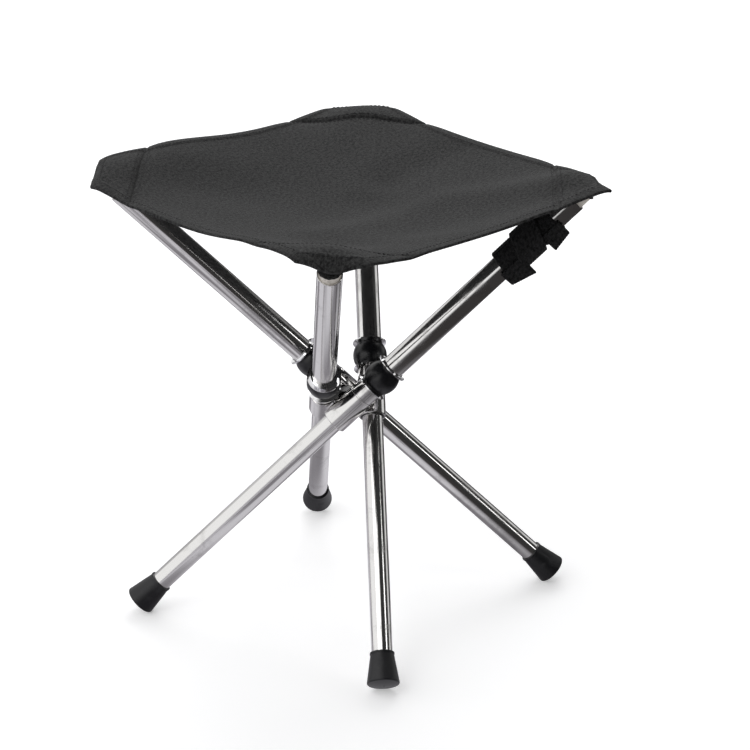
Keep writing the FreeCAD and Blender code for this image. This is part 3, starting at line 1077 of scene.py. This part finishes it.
@dataclass(frozen=True)
class Seat:
    """The seat cloth: one settled sheet, cut on its middle lines into a quarter per leg."""

    pattern: SeatPattern = SeatPattern()
    thickness: float = 0.0008
    hem_width: float = 0.0085
    hem_rise: float = 0.0007
    hem_lines: tuple = (0.0101, 0.0093, 0.0085, 0.0056, 0.0031, 0.0009, 0.0003)
    blunt_lines: tuple = (0.0093, 0.0085, 0.0030, 0.0009, 0.0003)
    seam_inset: float = 0.033
    seam_depth: float = 0.0009
    lining_rise: float = 0.0012
    step_width: float = 0.0012
    rim_radius: float = 0.0009
    groove_width: float = 0.0008
    cell: float = 0.0042
    stitch_inset: float = 0.0014
    stitch_gap: float = 0.0035
    stitch_pitch: float = 0.0034
    stitch_length: float = 0.0024
    stitch_radius: float = 0.00028
    fold_keep: float = 0.11
    fold_anchor: float = 0.026

    def plan_lines(self) -> list:
        """Grid line places from a middle line out to a hem."""
        half = self.pattern.half
        start = half - self.hem_lines[0]
        count = round(start / self.cell)
        return [start * i / count for i in range(count)] + [half - inset for inset in self.hem_lines] + [half]

    def plan_mesh(self) -> bmesh.types.BMesh:
        """The flat quarter in the positive corner, cut blunt, with lines beside each seam."""
        lines = self.plan_lines()
        half = self.pattern.half
        mesh = bmesh.new()
        verts = []
        for a in lines:
            for b in lines:
                p, q = a / half, b / half
                x = p * self.pattern.hem_distance(q)
                y = q * self.pattern.hem_distance(p)
                verts.append(mesh.verts.new((x, y, 0.0)))
        for quad in grid_faces(len(lines), len(lines)):
            mesh.faces.new([verts[n] for n in reversed(quad)])
        reach = self.pattern.corner_reach
        diagonal = Vector((1, 1, 0)).normalized()
        seam = [self.seam_inset + n * self.groove_width for n in (2, 1, 0, -1)]
        for inset in (*seam, *self.blunt_lines, 0.0):
            geometry = [*mesh.verts, *mesh.edges, *mesh.faces]
            bmesh.ops.bisect_plane(mesh, geom=geometry, plane_co=diagonal * (reach - inset),
                                   plane_no=diagonal, clear_outer=inset == 0.0)
        bmesh.ops.remove_doubles(mesh, verts=mesh.verts, dist=0.00005)
        return mesh

    def relief(self, x: Array, y: Array) -> tuple[Array, Array]:
        """How far the upper and lower faces stand off the settled surface.

        Args:
            x: Plan coordinate along the first axis.
            y: Plan coordinate along the second axis.

        Returns:
            Offsets of the upper face and of the lower face, in metres.
        """
        inset = np.minimum(self.pattern.hem_inset(x, y), self.pattern.end_inset(x, y))
        hem = np.clip((self.hem_width + self.groove_width - inset) / self.step_width, 0, 1)
        hem = hem * hem * (3 - 2 * hem)
        rounded = np.clip(inset / self.rim_radius, 0, 1)
        body = self.thickness / 2 + self.hem_rise * hem
        body = body * (0.35 + 0.65 * np.sqrt(rounded * (2 - rounded)))
        from_end = self.pattern.end_inset(x, y)
        groove = np.exp(-0.5 * ((from_end - self.seam_inset) / self.groove_width - 1) ** 2)
        lining = np.clip((self.seam_inset - from_end) / self.step_width, 0, 1)
        lining = lining * np.clip(self.pattern.hem_inset(x, y) / self.hem_width, 0, 1)
        upper = body + self.lining_rise * lining - self.seam_depth * groove
        lower = -body - 0.5 * self.lining_rise * lining
        return upper, lower

    def build(self, surface: ClothSurface, cloth: Material, thread: Material) -> None:
        """Makes the four quarters and their stitching.

        Args:
            surface: The settled cloth.
            cloth: The cloth's finish.
            thread: The thread's finish.
        """
        for leg in LEGS:
            quarter = self.quarter(leg, surface)
            paint(quarter, cloth)
            stitches = self.stitching(leg, surface)
            paint(stitches, thread)
            for piece in (quarter, stitches):
                self.fold_with(piece, leg)
            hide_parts(f"{leg.side.value}_seat_quarter")
            LOG.info("seat quarter %s: %d faces", leg.side.value, len(quarter.data.polygons))

    def fold_with(self, piece: Object, leg: Leg) -> None:
        """Hangs a piece on its corner's seat body, with a mesh of its own."""
        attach(piece, leg.seat_body)
        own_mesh(piece)

    def quarter(self, leg: Leg, surface: ClothSurface) -> Object:
        """One quarter of the cloth, with two faces and closed edges.

        Args:
            leg: The leg whose corner this is.
            surface: The settled cloth.

        Returns:
            The quarter.
        """
        plan = self.plan_mesh()
        plan.verts.index_update()
        places = np.array([v.co[:] for v in plan.verts])
        sx, sy = CORNER_SIGNS[leg.side]
        x, y = places[:, 0] * sx, places[:, 1] * sy
        upper, lower = self.relief(x, y)
        settled, normals = surface.point(x, y), surface.normal(x, y)
        top = self.pattern.to_row(settled + normals * upper[:, None])
        bottom = self.pattern.to_row(settled + normals * lower[:, None])
        flip = sx * sy > 0
        count = len(places)
        faces = []
        for face in plan.faces:
            ids = [v.index for v in face.verts]
            above = ids if flip else ids[::-1]
            faces.append(tuple(above))
            faces.append(tuple(n + count for n in reversed(above)))
        for edge in plan.edges:
            if len(edge.link_faces) == 1:
                loop = edge.link_loops[0]
                a, b = loop.vert.index, loop.link_loop_next.vert.index
                rim = (b, a, a + count, b + count)
                faces.append(rim if flip else rim[::-1])
        plan.free()
        made = new_object(f"seat_cloth_{leg.side.value}", np.vstack([top, bottom]).tolist(), faces)
        lay_flat(made, np.tile(np.stack([x, y], axis=-1) + self.pattern.half, (2, 1)))
        self.share_normals(made, surface, x, y)
        return made

    def share_normals(self, made: Object, surface: ClothSurface, x: Array,
                      y: Array) -> None:
        """Gives the quarter the whole sheet's normals along its middle lines.

        Args:
            made: The quarter.
            surface: The settled cloth.
            x: Plan coordinates of the upper vertices.
            y: Plan coordinates of the upper vertices.
        """
        made.data.update()
        own = np.array([v.normal[:] for v in made.data.vertices])
        count = len(x)
        whole = self.pattern.to_row(self.relief_normal(surface, x, y))
        on_cut = (np.abs(x) < 1e-6) | (np.abs(y) < 1e-6)
        own[:count][on_cut] = whole[on_cut]
        own[count:][on_cut] = -whole[on_cut]
        made.data.normals_split_custom_set_from_vertices(own.tolist())

    def relief_normal(self, surface: ClothSurface, x: Array, y: Array) -> Array:
        """Normals of the upper face with its hem and seams, in the seat frame."""
        def face(a: Array, b: Array) -> Array:
            """The upper face's point over a plan place."""
            return surface.point(a, b) + surface.normal(a, b) * self.relief(a, b)[0][:, None]

        return upward(face, x, y, 0.0004)

    def stitch_lines(self) -> list:
        """Plan points of each stitch in the positive corner, with its direction.

        Returns:
            Tuples of x, y and the stitch's plan direction.
        """
        stitches = []
        inset = self.hem_width - self.stitch_inset
        half, reach = self.pattern.half, self.pattern.corner_reach
        end = reach * math.sqrt(2) - (half - inset) - inset * math.sqrt(2)
        count = int(end / self.stitch_pitch)
        for n in range(count):
            along = (n + 0.5) * self.stitch_pitch
            q = along / half
            out = self.pattern.hem_distance(np.array(q)).item() - inset
            stitches.append((out, along, (0.0, 1.0)))
            stitches.append((along, out, (1.0, 0.0)))
        for from_end in (inset, self.seam_inset + self.stitch_gap, self.seam_inset - self.stitch_gap):
            middle = (reach - from_end) * math.sqrt(0.5)
            longest = min((half - inset - middle), middle) * math.sqrt(2)
            for n in range(int(2 * longest / self.stitch_pitch)):
                across = (n + 0.5) * self.stitch_pitch - longest
                step = across * math.sqrt(0.5)
                stitches.append((middle - step, middle + step, (-math.sqrt(0.5), math.sqrt(0.5))))
        return stitches

    def stitching(self, leg: Leg, surface: ClothSurface) -> Object:
        """The quarter's stitches as small thread capsules, above and below the cloth.

        Args:
            leg: The leg whose corner this is.
            surface: The settled cloth.

        Returns:
            The stitches as one piece.
        """
        sx, sy = CORNER_SIGNS[leg.side]
        stitches = self.stitch_lines()
        x = np.array([s[0] * sx for s in stitches])
        y = np.array([s[1] * sy for s in stitches])
        headings = np.array([(s[2][0] * sx, s[2][1] * sy) for s in stitches])
        here, normals = surface.point(x, y), surface.normal(x, y)
        ahead = headings * 0.001
        forward = unit(surface.point(x + ahead[:, 0], y + ahead[:, 1]) - here)
        sideways = np.cross(normals, forward)
        upper, lower = self.relief(x, y)
        points, faces, flat = [], [], []
        shape, quads = self.capsule()
        for sign, offset in ((1.0, upper), (-1.0, lower)):
            centres = here + normals * (offset + sign * self.stitch_radius * 0.35)[:, None]
            for n, centre in enumerate(centres):
                start = len(points)
                body = centre + shape @ np.stack([forward[n], sideways[n], normals[n]])
                points.extend(self.pattern.to_row(body))
                faces.extend(tuple(k + start for k in quad) for quad in quads)
                flat.extend(shape[:, :2] + (x[n], y[n]))
        made = new_object(f"seat_stitching_{leg.side.value}", points, faces)
        lay_flat(made, np.array(flat) + self.pattern.half)
        return made

    def capsule(self) -> tuple[Array, list]:
        """One stitch: a thread that dips into the cloth at both ends."""
        stations = (-0.5, -0.32, 0.0, 0.32, 0.5)
        fat = (0.35, 0.9, 1.0, 0.9, 0.35)
        around = 6
        rows = []
        for along, size in zip(stations, fat):
            dip = -self.stitch_radius * 1.2 * (2 * along) ** 4
            for k in range(around):
                turn = math.tau * k / around
                rows.append((along * self.stitch_length, math.cos(turn) * size * self.stitch_radius,
                             math.sin(turn) * size * self.stitch_radius + dip))
        faces = grid_faces(len(stations), around, closed=True)
        faces.append(tuple(range(around)))
        faces.append(tuple(reversed(range(len(rows) - around, len(rows)))))
        return np.array(rows), [tuple(reversed(face)) for face in faces]


# ---- corner pockets ----


@dataclass(frozen=True)
class CornerPocket:
    """The sewn cup over each plug's head, with a slanted, bound mouth and puckered sides."""

    inner: float = 0.0082
    wall: float = 0.0008
    bottom: float = 0.2514
    top: float = 0.2547
    mouth_slant: float = 0.0017
    binding: float = 0.0003
    puckers: tuple = ((9, 0.00018), (17, 0.00012))
    around: int = 64

    def profile(self) -> list:
        """Radius and share of the way from mouth to top, from the mouth's inside outward."""
        outer = self.inner + self.wall
        bound = outer + self.binding
        return [
            (self.inner, 0.60), (self.inner, 0.10), (outer, 0.0), (bound, 0.12), (bound, 0.34), (outer, 0.46),
            (outer, 0.70), (outer - 0.0006, 0.88), (outer - 0.0018, 1.0), (0.0050, 1.04), (0.0020, 1.06),
        ]

    def build(self, cloth: Material) -> None:
        """Makes the four pockets.

        Args:
            cloth: The cloth's finish.
        """
        for leg in LEGS:
            pocket = self.pocket(leg)
            paint(pocket, cloth)
            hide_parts(f"{leg.side.value}_corner_pocket")
            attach(pocket, leg.body)
            LOG.info("corner pocket %s", leg.side.value)

    def pocket(self, leg: Leg) -> Object:
        """One pocket in place on its tube."""
        rows = self.profile()
        points, flat = [], []
        for radius, share in rows:
            for k in range(self.around):
                turn = math.tau * k / self.around
                mouth = self.bottom - self.mouth_slant * math.cos(turn)
                height = mouth + share * (self.top - mouth)
                pucker = sum(size * math.sin(times * turn) for times, size in self.puckers)
                r = radius + (pucker if radius > self.inner + self.wall / 2 else 0.0)
                points.append(leg.matrix() @ Vector((r * math.cos(turn), r * math.sin(turn), height)))
                flat.append((turn * self.inner, height + (self.inner - radius)))
        faces = grid_faces(len(rows), self.around, closed=True)
        centre = len(points)
        points.append(leg.matrix() @ Vector((0, 0, self.top + 0.0003)))
        flat.append((0.0, self.top + self.inner))
        last = centre - self.around
        for k in range(self.around):
            faces.append((last + k, last + (k + 1) % self.around, centre))
        made = new_object(f"corner_pocket_{leg.side.value}_cloth", points, faces)
        lay_flat(made, flat)
        return made


# ---- the tie strap ----


@dataclass(frozen=True)
class TieStrap:
    """Ribbed webbing wound round the right leg's tube, with its doubled ends standing off."""

    thickness: float = 0.0015
    rib_pitch: float = 0.0023
    rib_depth: float = 0.00028
    tube_radius: float = 0.0095
    clearance: float = 0.0002
    looseness: float = 0.0003
    layer_step: float = 1.04
    edge_thinness: float = 0.45
    edge_steepness: float = 30.0
    front_layers: float = 2.4
    bend_share: float = 0.62
    fold_back: float = 0.010
    fold_opening: float = 0.10
    droop: float = 0.0022
    side: Side = Side.RIGHT

    def section(self, width: float) -> list:
        """The webbing's ribbed cross-section: across its width and through its thickness.

        Args:
            width: The webbing's width.

        Returns:
            Pairs of places across and through, round the section.
        """
        per_rib = 4
        count = round(width / self.rib_pitch) * per_rib
        upper, lower = [], []
        for n in range(count + 1):
            share = n / count
            across = (share - 0.5) * width
            groove = self.rib_depth * (0.5 - 0.5 * math.cos(math.tau * n / per_rib))
            edge = min(1.0, min(share, 1 - share) * self.edge_steepness)
            half = self.thickness / 2 * (self.edge_thinness + (1 - self.edge_thinness) * edge)
            half += groove * edge - self.rib_depth
            upper.append((across, half))
            lower.append((across, -half))
        return upper + lower[::-1]

    def webbing(self, name: str, width: float, stations: list, place: Callable) -> Object:
        """Sweeps the webbing along a route.

        Args:
            name: The piece's name.
            width: The webbing's width.
            stations: Distances along the webbing.
            place: Gives the middle surface's point and outward direction in the leg frame,
                for a distance along and a place across.

        Returns:
            The swept webbing.
        """
        matrix = Leg(self.side).matrix()
        outline = self.section(width)
        points, flat = [], []
        for run in stations:
            for across, through in outline:
                here, away = place(run, across)
                points.append(matrix @ (here + away * through))
                flat.append((across + width, run))
        around = len(outline)
        faces = grid_faces(len(stations), around, closed=True)
        faces.append(tuple(reversed(range(around))))
        faces.append(tuple(range(len(points) - around, len(points))))
        made = new_object(name, points, faces)
        lay_flat(made, flat)
        shape = bmesh.new()
        shape.from_mesh(made.data)
        bmesh.ops.recalc_face_normals(shape, faces=shape.faces)
        shape.to_mesh(made.data)
        shape.free()
        smooth_by_angle(made, 50.0)
        return made

    def wrap(self, name: str, width: float, middle: float, layers: tuple, turns: float, start: float,
             tilt: float = 0.0) -> Object:
        """A band wound round the tube.

        Args:
            name: The piece's name.
            width: The webbing's width.
            middle: Height of the band's middle along the tube.
            layers: How many thicknesses of webbing lie under its start and under its end.
            turns: Number of turns.
            start: Start angle in the leg frame, in degrees.
            tilt: How far the band's inner side rides higher than its middle.

        Returns:
            The band.
        """
        close = self.tube_radius + self.clearance + self.thickness / 2

        def place(run: float, across: float) -> tuple[Vector, Vector]:
            """The band's point and outward direction."""
            share = run / length
            turn = math.radians(start) + math.tau * turns * share
            depth = layers[0] + (layers[1] - layers[0]) * share
            radius = close + self.thickness * self.layer_step * depth
            radius += self.looseness * (1 + math.sin(3 * turn + 40 * middle)) * layers[1]
            away = Vector((math.cos(turn), math.sin(turn), 0))
            return away * radius + Vector((0, 0, middle + across + tilt * math.cos(turn))), away

        length = math.tau * turns * close
        count = round(60 * turns)
        return self.webbing(name, width, [length * n / count for n in range(count + 1)], place)

    def doubled_end(self, name: str, width: float, middle: float, reach: float, slant: float,
                    front: float) -> Object:
        """A free end: off the wrap, out under the tube and folded back on itself.

        Args:
            name: The piece's name.
            width: The webbing's width.
            middle: Height of its middle along the tube.
            reach: How far from the tube's axis the fold lies at its middle.
            slant: How much further it reaches at its upper edge than at its lower edge.
            front: How far the webbing lies in front of the tube's axis.

        Returns:
            The doubled end.
        """
        bend = self.thickness * self.bend_share

        def place(run: float, across: float) -> tuple[Vector, Vector]:
            """The end's point and outward direction."""
            out = reach + slant * across / width
            droop = self.droop * (min(run, out) / out) ** 2
            if run < out:
                here, away = Vector((-run, front - droop, 0)), Vector((0, 1, 0))
            elif run < out + math.pi * bend:
                turn = (run - out) / bend
                here = Vector((-out - bend * math.sin(turn), front - droop - bend * (1 - math.cos(turn)), 0))
                away = Vector((-math.sin(turn), math.cos(turn), 0))
            else:
                returned = run - out - math.pi * bend
                gap = 2 * bend + self.fold_opening * returned
                here, away = Vector((returned - out, front - droop - gap, 0)), Vector((0, -1, 0))
            return here + Vector((0, 0, middle + across)), away

        longest = reach + abs(slant) / 2
        count = 56
        whole = longest + math.pi * bend + self.fold_back
        return self.webbing(name, width, [whole * n / count for n in range(count + 1)], place)

    def build(self, webbing: Material) -> None:
        """Makes the wound strap.

        Args:
            webbing: The webbing's finish.
        """
        front = self.tube_radius + self.front_layers * self.thickness
        pieces = (
            (self.wrap("strap_lower_band", width=0.0250, middle=0.1790, layers=(0.0, 1.0), turns=1.60,
                       start=160.0, tilt=0.0008), "strap_lower_wrap"),
            (self.wrap("strap_upper_band", width=0.0190, middle=0.2125, layers=(0.0, 1.0), turns=1.60,
                       start=200.0, tilt=-0.0006), "strap_upper_wrap"),
            (self.doubled_end("strap_lower_end", width=0.0205, middle=0.1735, reach=0.0150, slant=0.0060,
                              front=front), "strap_lower_tail"),
            (self.doubled_end("strap_upper_end", width=0.0175, middle=0.2150, reach=0.0138, slant=-0.0030,
                              front=front), "strap_upper_tail"),
            (self.wrap("strap_crossing_band", width=0.0250, middle=0.1945, layers=(1.5, 2.1), turns=1.10,
                       start=75.0, tilt=0.0055), None),
        )
        for piece, node in pieces:
            paint(piece, webbing)
            if node:
                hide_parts(node)
            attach(piece, Leg(self.side).body)
            LOG.info("strap piece %s", piece.name)


# ---- the steel frame's finishes ----


@dataclass(frozen=True)
class SteelFrame:
    """Dresses the carried-over CAD nodes: tubes, collars, rings, balls, caps and hub."""

    steel_pieces: tuple = ("upper_tube", "lower_tube", "pivot_collar", "spacer_sleeve")
    ring_pieces: tuple = ("lower_flange", "upper_flange")
    nylon_pieces: tuple = ("mouth_bush", "guide_bush")

    def dress(self) -> None:
        """Gives every carried-over node its finish."""
        ring = BrightRing().build()
        ball, foot, nylon = BALL_RUBBER.build(), FOOT_RUBBER.build(), BLACK_NYLON.build()
        plug = PALE_NYLON.build()
        for leg in LEGS:
            steel = PolishedSteel().build(leg.azimuth)
            finishes = {name: steel for name in self.steel_pieces}
            finishes |= {name: ring for name in self.ring_pieces}
            finishes |= {name: nylon for name in self.nylon_pieces}
            finishes |= {"ball_bumper": ball, "foot_cap": foot, "top_plug": plug}
            for piece, finish in finishes.items():
                paint(leg.node(piece), finish)
                smooth_by_angle(leg.node(piece))
        paint(frame["nodes"]["hub_block"], nylon)
        paint(frame["nodes"]["hub_pivot_pins"], ring)
        smooth_by_angle(frame["nodes"]["hub_pivot_pins"])
        LOG.info("frame dressed")


# ---- studio ----


@dataclass(frozen=True)
class Studio:
    """Camera, plain floor and soft light."""

    azimuth: float = math.radians(-2.4)
    elevation: float = math.radians(22.84)
    distance: float = 2.1907
    lens: float = 132.75
    sensor: float = 36.0
    aim_right: float = 0.022
    aim_up: float = 0.0186
    floor_glow: float = 0.36
    # Glow colours of the painted reflection that the steel sees in the floor: light on the left with dimmer
    # patches, dark on the right, changing over this span.
    painted_reflection_left: tuple = (0.66, 0.65, 0.69)
    painted_reflection_left_dim: tuple = (0.24, 0.23, 0.25)
    painted_reflection_right: tuple = (0.045, 0.042, 0.042)
    painted_reflection_change: tuple = (-0.25, -0.05)
    room_glow: float = 0.035

    def build(self) -> None:
        """Makes the whole studio."""
        self.camera()
        self.floor()
        self.world()
        self.lights()
        bpy.context.scene.view_settings.view_transform = "Standard"

    def camera(self) -> None:
        """A long lens that looks down at the crossing of the legs."""
        a, e = self.azimuth, self.elevation
        back = Vector((math.sin(a) * math.cos(e), -math.cos(a) * math.cos(e), math.sin(e)))
        right = Vector((math.cos(a), math.sin(a), 0))
        up = right.cross(-back)
        hub = Vector((0, 0, PIVOT_HEIGHT))
        data = bpy.data.cameras.new("camera")
        data.lens = self.lens
        data.sensor_width = self.sensor
        made = placed("camera", data)
        made.location = hub + back * self.distance
        target = hub + right * self.aim_right + up * self.aim_up
        made.rotation_mode = "QUATERNION"
        made.rotation_quaternion = (target - made.location).to_track_quat("-Z", "Y")
        bpy.context.scene.camera = made

    def floor(self) -> None:
        """A plain pale floor that glows evenly for the camera, with a painted reflection that only the steel
        mirrors: glossy rays meet a glowing lavender on the left, with dimmer patches, and a dark glow on its
        right side.
        """
        half = 6.0
        corners = [(-half, -half, 0), (half, -half, 0), (half, half, 0), (-half, half, 0)]
        floor = new_object("floor", corners, [(0, 1, 2, 3)], smooth=False)
        material, graph, shader = start_material("pale_floor")
        rays = graph.node("LightPath")
        graph.feeds(shader, Base_Color=(0.93, 0.93, 0.94, 1.0), Roughness=0.9,
                    Emission_Color=(1.0, 1.0, 1.0, 1.0),
                    Emission_Strength=graph.math("MULTIPLY", rays.outputs["Is Camera Ray"], self.floor_glow))
        place = graph.node("TexCoord").outputs["Object"]
        parts = graph.node("SeparateXYZ", Vector=place)
        leaning = graph.math("MULTIPLY", parts.outputs["Y"], 0.3)
        toward_left = graph.math("SUBTRACT", leaning, parts.outputs["X"])
        painted_reflection_patches = graph.spread(graph.noise(place, 5.0, 1.0, 0.4), 0.0, 1.0, 0.38, 0.56)
        painted_reflection = graph.tint(graph.spread(toward_left, 0.0, 1.0, *self.painted_reflection_change), self.painted_reflection_right,
                              self.painted_reflection_left)
        graph.feed(painted_reflection.node.inputs[7], graph.tint(painted_reflection_patches, self.painted_reflection_left_dim, self.painted_reflection_left))
        # Painted reflection: glossy rays see this glow in place of the lit floor.
        painted_reflection_glow = graph.node("Emission", Color=painted_reflection)
        mix = graph.node("MixShader")
        shown = (rays.outputs["Is Glossy Ray"], shader.outputs[0], painted_reflection_glow.outputs[0])
        for socket, value in zip(mix.inputs, shown):
            graph.feed(socket, value)
        graph.feeds(material.node_tree.nodes["Material Output"], Surface=mix.outputs[0])
        paint(floor, material)

    def lobe(self, graph: Graph, direction: Socket, centre: tuple, start: float,
             end: float) -> Socket:
        """A soft bright patch of the room's wall.

        Args:
            graph: The world's graph.
            direction: The direction looked in.
            centre: The patch's direction.
            start: Cosine from its centre where it begins.
            end: Cosine where it is full.

        Returns:
            The patch's strength, from 0 to 1.
        """
        along = graph.node("VectorMath", {"operation": "DOT_PRODUCT"})
        graph.feed(along.inputs[0], direction)
        along.inputs[1].default_value = Vector(centre).normalized()
        return graph.spread(along.outputs["Value"], 0.0, 1.0, start, end)

    def world(self) -> None:
        """A dim room with a bright ceiling, a bright left wall and a strip at the back right."""
        world = bpy.data.worlds.new("studio")
        bpy.context.scene.world = world
        world.use_nodes = True
        graph = Graph(world.node_tree)
        background = world.node_tree.nodes["Background"]
        place = graph.node("TexCoord").outputs["Generated"]
        lit = self.room_glow
        for centre, start, end, strength in (
            ((-0.15, 0.62, 0.80), 0.52, 0.85, 0.95),
            ((-0.85, -0.30, 0.30), 0.50, 0.75, 1.0),
            ((0.85, 0.45, 0.10), 0.93, 0.975, 0.75),
        ):
            patch = self.lobe(graph, place, centre, start, end)
            lit = graph.math("MAXIMUM", graph.math("MULTIPLY", patch, strength), lit)
        shown = graph.node("Mix", {"data_type": "FLOAT"})
        for number, value in ((0, graph.node("LightPath").outputs["Is Camera Ray"]), (2, lit), (3, 1.0)):
            graph.feed(shown.inputs[number], value)
        graph.feeds(background, Color=shown.outputs[0], Strength=1.0)

    def lights(self) -> None:
        """One large soft key from above the left, a narrow strip on the right and a rim behind."""
        self.softbox("key", (-0.9, -1.1, 1.9), (1.4, 1.4), 7.0)
        self.softbox("strip", (1.7, -0.6, 0.9), (0.22, 1.4), 2.5)
        self.softbox("rim", (0.3, 1.9, 1.7), (1.4, 1.4), 16.0)

    def softbox(self, name: str, place: tuple, size: tuple, power: float) -> None:
        """A flat area light aimed at the stool.

        Args:
            name: The light's name.
            place: Where it stands.
            size: Its sides, in metres.
            power: Its power, in watts.
        """
        data = bpy.data.lights.new(name, "AREA")
        data.shape = "RECTANGLE"
        data.size, data.size_y = size
        data.energy = power
        made = placed(name, data)
        made.location = place
        aim = Vector((0, 0, PIVOT_HEIGHT)) - Vector(place)
        made.rotation_euler = aim.to_track_quat("-Z", "Y").to_euler()


# ---- the whole stool ----


def main() -> None:
    """Builds and dresses every sub-assembly in order."""
    logging.basicConfig(level=logging.INFO, format="%(name)s: %(message)s")
    build_groups()
    cloth, thread, webbing = SEAT_CLOTH.build(), THREAD.build(), WEBBING.build()
    SteelFrame().dress()
    seat = Seat()
    settled = Drape(seat.pattern).settle()
    seat.build(ClothSurface(seat.pattern, settled), cloth, thread)
    CornerPocket().build(cloth)
    TieStrap().build(webbing)
    Studio().build()


if __name__ == "__main__":
    main()
